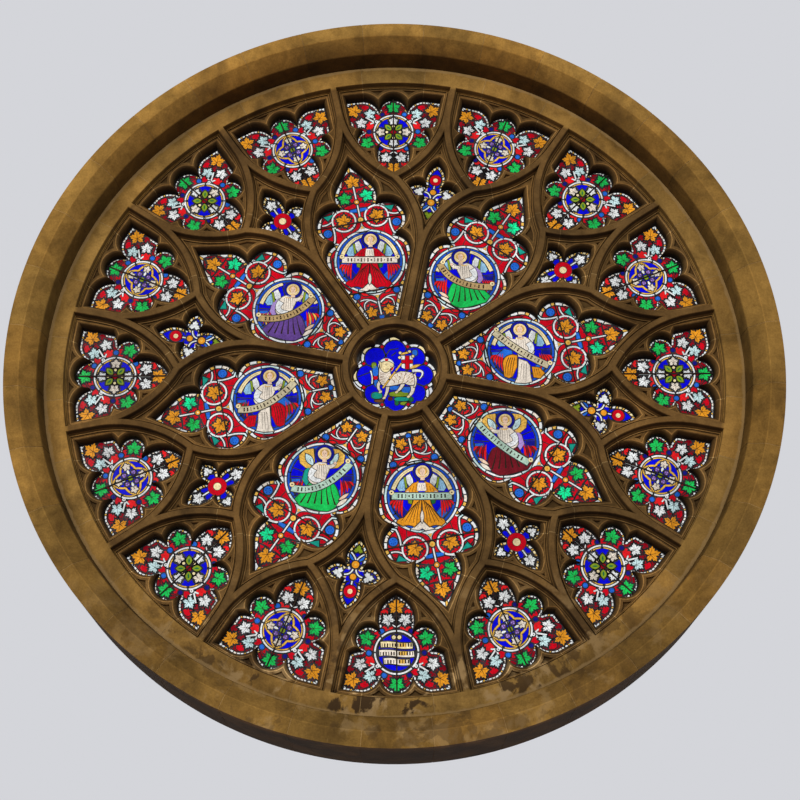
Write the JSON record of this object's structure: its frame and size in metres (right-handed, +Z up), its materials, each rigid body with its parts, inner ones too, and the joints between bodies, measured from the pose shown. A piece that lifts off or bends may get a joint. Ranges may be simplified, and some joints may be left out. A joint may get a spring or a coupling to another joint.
{
  "type": "rose window",
  "caption": "Round traceried stone window: petal-shaped lights around a foiled middle light, cusped outer lights, leaded stained glass, set in a dressed arch ring.",
  "frame": {"origin": "middle of the flat bed at the foot of the arch ring, straight below the window's centre, in the plane of the tracery's inner face", "axes": "+Z up, -Y out of the inner face into the building, +X to the right as seen from inside"},
  "size_m": [5.3166, 0.686, 5.3166],
  "materials": {
    "tracery_stone": "fine-tooled warm brown limestone, darkened with age",
    "arch_stone": "dressed ochre limestone with thin mortar joints",
    "stained_glass": "painted and coloured glass, lit from behind",
    "lead": "dark oxidised lead cames, soldered at the joints",
    "iron": "blackened iron glazing bars",
    "mortar": "pale lime mortar, patched in places"
  },
  "bodies": {
    "root": {"arch_ring": "arch_stone", "hub_stone": "tracery_stone", "fork_stone_1": "tracery_stone", "fork_stone_2": "tracery_stone", "fork_stone_3": "tracery_stone", "fork_stone_4": "tracery_stone", "fork_stone_5": "tracery_stone", "fork_stone_6": "tracery_stone", "fork_stone_7": "tracery_stone", "fork_stone_8": "tracery_stone", "petal_springer_1": "tracery_stone", "petal_springer_2": "tracery_stone", "petal_springer_3": "tracery_stone", "petal_springer_4": "tracery_stone", "petal_springer_5": "tracery_stone", "petal_springer_6": "tracery_stone", "petal_springer_7": "tracery_stone", "petal_springer_8": "tracery_stone", "fork_springer_1": "tracery_stone", "fork_springer_2": "tracery_stone", "fork_springer_3": "tracery_stone", "fork_springer_4": "tracery_stone", "fork_springer_5": "tracery_stone", "fork_springer_6": "tracery_stone", "fork_springer_7": "tracery_stone", "fork_springer_8": "tracery_stone", "centre_glass": "stained_glass", "petal_glass_1": "stained_glass", "petal_glass_2": "stained_glass", "petal_glass_3": "stained_glass", "petal_glass_4": "stained_glass", "petal_glass_5": "stained_glass", "petal_glass_6": "stained_glass", "petal_glass_7": "stained_glass", "petal_glass_8": "stained_glass", "quatrefoil_glass_1": "stained_glass", "quatrefoil_glass_2": "stained_glass", "quatrefoil_glass_3": "stained_glass", "quatrefoil_glass_4": "stained_glass", "quatrefoil_glass_5": "stained_glass", "quatrefoil_glass_6": "stained_glass", "quatrefoil_glass_7": "stained_glass", "quatrefoil_glass_8": "stained_glass", "outer_glass_1": "stained_glass", "outer_glass_2": "stained_glass", "outer_glass_3": "stained_glass", "outer_glass_4": "stained_glass", "outer_glass_5": "stained_glass", "outer_glass_6": "stained_glass", "outer_glass_7": "stained_glass", "outer_glass_8": "stained_glass", "outer_glass_9": "stained_glass", "outer_glass_10": "stained_glass", "outer_glass_11": "stained_glass", "outer_glass_12": "stained_glass", "outer_glass_13": "stained_glass", "outer_glass_14": "stained_glass", "outer_glass_15": "stained_glass", "outer_glass_16": "stained_glass"}
  },
  "joints": []
}
